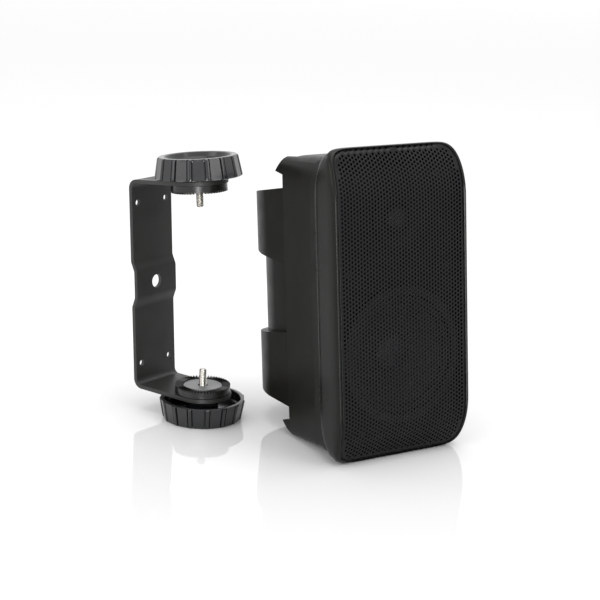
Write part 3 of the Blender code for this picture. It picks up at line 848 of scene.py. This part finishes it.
def strap():
    """The bent steel strip with its joggle, round arm ends, holes and softened edges."""
    half = list(zip(half_band(0), half_band(SHEET)))
    lower = [[(y, -z) for y, z in pair] for pair in reversed(half)]
    sections = []
    for inner, outer in half + lower:
        corners = [(-STRAP_HALF, inner), (STRAP_HALF, inner)]
        corners += [(STRAP_HALF, outer), (-STRAP_HALF, outer)]
        sections.append([(x, *point) for x, point in corners])
    item = add("strap_skin", loft(sections), "powder_coat", "bracket", BRACKET, "bracket_strap")
    carving = Carving(item, BRACKET)
    carving.cut(cylinder(CENTRE_HOLE, *PLATE_SPAN), BRACKET @ BACKWARD)
    hole_x, hole_z = CORNER_HOLES
    for x in (-hole_x, hole_x):
        for z in (-hole_z, hole_z):
            carving.cut(cylinder(CORNER_HOLE, *PLATE_SPAN, 32), BRACKET @ at(x, 0, z) @ BACKWARD)
    carving.cut(cylinder(STUD_RADIUS + 0.6, -100, 100, 32))
    carving.cut(prism(beyond_arm_ends(), -110, 110))
    carving.settle(STRAP_EDGE)


def beyond_arm_ends():
    """Plan of what is cut from the strip to leave round arm ends."""
    radius, wide = STRAP_HALF - 0.05, STRAP_HALF + 6
    start = radius - ARM_END
    outline = [(-wide, -50), (wide, -50), (wide, start)]
    return outline + arc((0, start), radius, 0, -180, 60) + [(-wide, start)]


def serrated(inner, outer, low, high):
    """A ring whose upper face carries radial teeth of triangular section."""
    mesh = bmesh.new()
    count = TEETH * 2
    rings = []
    for radius, toothed in ((inner, False), (outer, False), (outer, True), (inner, True)):
        heights = [high - TOOTH, high] if toothed else [low, low]
        points = [polar(radius, 2 * math.pi * i / count, heights[i % 2]) for i in range(count)]
        rings.append([mesh.verts.new(point) for point in points])
    skin(mesh, rings, around=True)
    return mesh


def stud(low, high):
    """A threaded rod with a real helix and a chamfered tip."""
    mesh = bmesh.new()
    levels = int((high - low) / THREAD_PITCH * THREAD_STEPS)
    rings = []
    for level in range(levels + 1):
        z = low + (high - low) * level / levels
        ring = []
        for i in range(STUD_SIDES):
            phase = (z / THREAD_PITCH - i / STUD_SIDES) % 1.0
            radius = STUD_RADIUS - THREAD_DEPTH * abs(2 * phase - 1)
            radius = min(radius, STUD_RADIUS - CHAMFER + z - low)
            ring.append(mesh.verts.new(polar(radius, 2 * math.pi * i / STUD_SIDES, z)))
        rings.append(ring)
    skin(mesh, rings)
    mesh.faces.new(rings[0])
    mesh.faces.new(rings[-1])
    return mesh


def knob_levels():
    """The knob's outline from the arm side to the dish, as (radius, height, share of the ribs)."""
    wide, narrow = KNOB_RADII
    top = KNOB_HEIGHT
    rim = wide - KNOB_WALL
    levels = [(0, 0.3, 0), (HUB_RADIUS - 1.0, 0.3, 0), (HUB_RADIUS - 0.2, 0.9, 0)]
    levels += [(HUB_RADIUS, CUP_DEPTH, 0), (rim - 0.8, CUP_DEPTH, 0), (rim, CUP_DEPTH - 0.8, 0)]
    levels += [(rim + 0.1, 0.3, 0), (rim + 0.6, -0.2, 0), (wide - 0.9, -0.2, 0)]
    levels += [(wide - 0.3, 0.0, 0.2), (wide, 0.5, 0.9), (wide - 0.05, 1.0, 1)]
    for i in range(1, 8):
        share = i / 8
        levels.append((wide + (narrow - wide) * share, 1.0 + (top - 2.2) * share, 1))
    levels += [(narrow, top - 1.2, 1), (narrow - 0.2, top - 0.6, 0.8)]
    levels += [(narrow - 0.6, top - 0.1, 0.3), (narrow - 1.1, top, 0)]
    dish = narrow - DISH_EDGE
    levels += [(dish + 0.8, top, 0), (dish, top - 0.4, 0)]
    for i in range(1, 17):
        share = i / 16
        depth = DISH_DEPTH * math.sin(share * math.pi / 2) ** 0.3
        levels.append((dish * (1 - share), top - 0.4 - depth, 0))
    return levels


def grip(radius, phase):
    """How far the grip stands off its circle: a bar at each corner, a groove, a flat panel."""
    half_pitch = math.pi / KNOB_RIBS
    away = min(phase, 1 - phase) * 2 * half_pitch
    if away < BAR_HALF:
        return BAR_HEIGHT * math.sqrt(1 - (away / BAR_HALF) ** 2)
    flat = radius * (math.cos(half_pitch) / math.cos(half_pitch - away) - 1)
    return flat - GROOVE_DEPTH if away < BAR_HALF + GROOVE else flat


def knob(start):
    """A cup on the arm side, flat grip panels between raised bars, and a deep dished face."""
    mesh = bmesh.new()
    rings = []
    for radius, height, ribbed in knob_levels():
        count = KNOB_RIBS * RIB_STEPS if radius else 1
        ring = []
        for i in range(count):
            stand_off = grip(radius, (i % RIB_STEPS) / RIB_STEPS) * ribbed
            angle = start + 2 * math.pi * i / count
            ring.append(mesh.verts.new(polar(radius + stand_off, angle, height)))
        rings.append(ring)
    skin(mesh, rings)
    return mesh


def pivot_parts():
    """At each arm: the bracket's ring, the knob with its stud, and the cabinet's seat ring."""
    moulded, glossy = MATERIALS["knob_plastic"], MATERIALS["ring_plastic"]
    for side, name, start in ((1, "upper", -6), (-1, "lower", 12)):
        frame = arm_frame(side)
        slot = "black_rubber"
        place = frame @ UPSIDE_DOWN
        ring = serrated(*RING_RADII, RING_FOOT, RING_HEIGHT)
        stands_for = f"{name}_bracket_ring"
        add(f"{name}_ring_skin", ring, slot, "bracket", place, stands_for, glossy, sharp=25)
        body, plastic = f"{name}_knob_group", "satin_black_plastic"
        place = frame @ at(0, 0, KNOB_AT)
        dial = knob(math.radians(start))
        add(f"{name}_knob_skin", dial, plastic, body, place, f"{name}_knob", moulded)
        rod = stud(-RING_HEIGHT - STUD_REACH, KNOB_AT + STUD_ROOT)
        add(f"{name}_stud_skin", rod, "zinc_plate", body, frame, f"{name}_stud", sharp=50)
        inner, outer, low, height = SEAT_RING
        seat = serrated(inner, outer, low, low + height)
        place = CABINET @ at(0, PIVOT_Y, 0) @ (Matrix.Identity(4) if side > 0 else UPSIDE_DOWN)
        add(f"{name}_seat_skin", seat, slot, "cabinet", place, f"{name}_seat_ring", sharp=25)


# ---------------------------------------------------------------- CAD pieces shown as they are


def dress(frame):
    """Gives every CAD node its procedural material."""
    slots = {part["node"]: part["material_slot"] for part in frame["record"]["subparts"]}
    for name, item in frame["nodes"].items():
        item.data.materials.clear()
        item.data.materials.append(MATERIALS[slots[name]])


# ---------------------------------------------------------------- stage


def floor():
    """A glossy white table top."""
    mesh = bpy.data.meshes.new("table_top")
    reach = TABLE_REACH
    corners = [(-reach, -reach, 0), (reach, -reach, 0), (reach, reach, 0), (-reach, reach, 0)]
    mesh.from_pydata(corners, [], [(0, 1, 2, 3)])
    nodes = Nodes("white_gloss", roughness=0.03, base_color=(0.66, 0.66, 0.66, 1))
    mesh.materials.append(nodes.material)
    link_object("table_top", mesh)


def area_light(name, place, target, size, power):
    data = bpy.data.lights.new(name, "AREA")
    data.shape = "RECTANGLE"
    data.size, data.size_y = size
    data.energy = power
    item = link_object(name, data)
    item.location = place
    item.rotation_euler = (Vector(target) - Vector(place)).to_track_quat("-Z", "Y").to_euler()


def lights():
    """Even white surroundings with soft panels, one of them mirrored by the knobs' grips."""
    world = bpy.data.worlds.new("studio")
    world.use_nodes = True
    background = world.node_tree.nodes["Background"]
    background.inputs["Color"].default_value = (1, 1, 1, 1)
    background.inputs["Strength"].default_value = 1.12
    bpy.context.scene.world = world
    area_light("left_panel", (-1.6, 0.1, 0.9), (0, 0, 0.1), (1.0, 1.2), 6)
    area_light("top_panel", (0.2, -0.1, 1.9), (0, 0, 0.1), (1.6, 1.6), 22)
    area_light("front_panel", (0.9, -1.7, 1.0), (0, 0, 0.12), (0.9, 1.2), 8)
    area_light("eye_panel", (-0.95, -1.36, 0.24), (-0.05, 0.04, 0.2), (0.42, 0.34), 8.0)


def camera():
    data = bpy.data.cameras.new("camera")
    data.lens = LENS
    data.sensor_width = SENSOR
    item = link_object("camera", data)
    level = Vector((*LOOK, 0)).normalized() * math.cos(PITCH)
    look = level - Vector((0, 0, math.sin(PITCH)))
    item.matrix_world = (
        Matrix.Translation(EYE)
        @ look.to_track_quat("-Z", "Y").to_matrix().to_4x4()
        @ Matrix.Rotation(ROLL, 4, "Z")
    )
    bpy.context.scene.camera = item


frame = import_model()
MATERIALS = black_finishes() | other_finishes()
dress(frame)
bezel()
rear_shell()
grille()
screws()
woofer()
tweeter()
strap()
pivot_parts()
bpy.context.scene.view_settings.view_transform = "Standard"
floor()
lights()
camera()
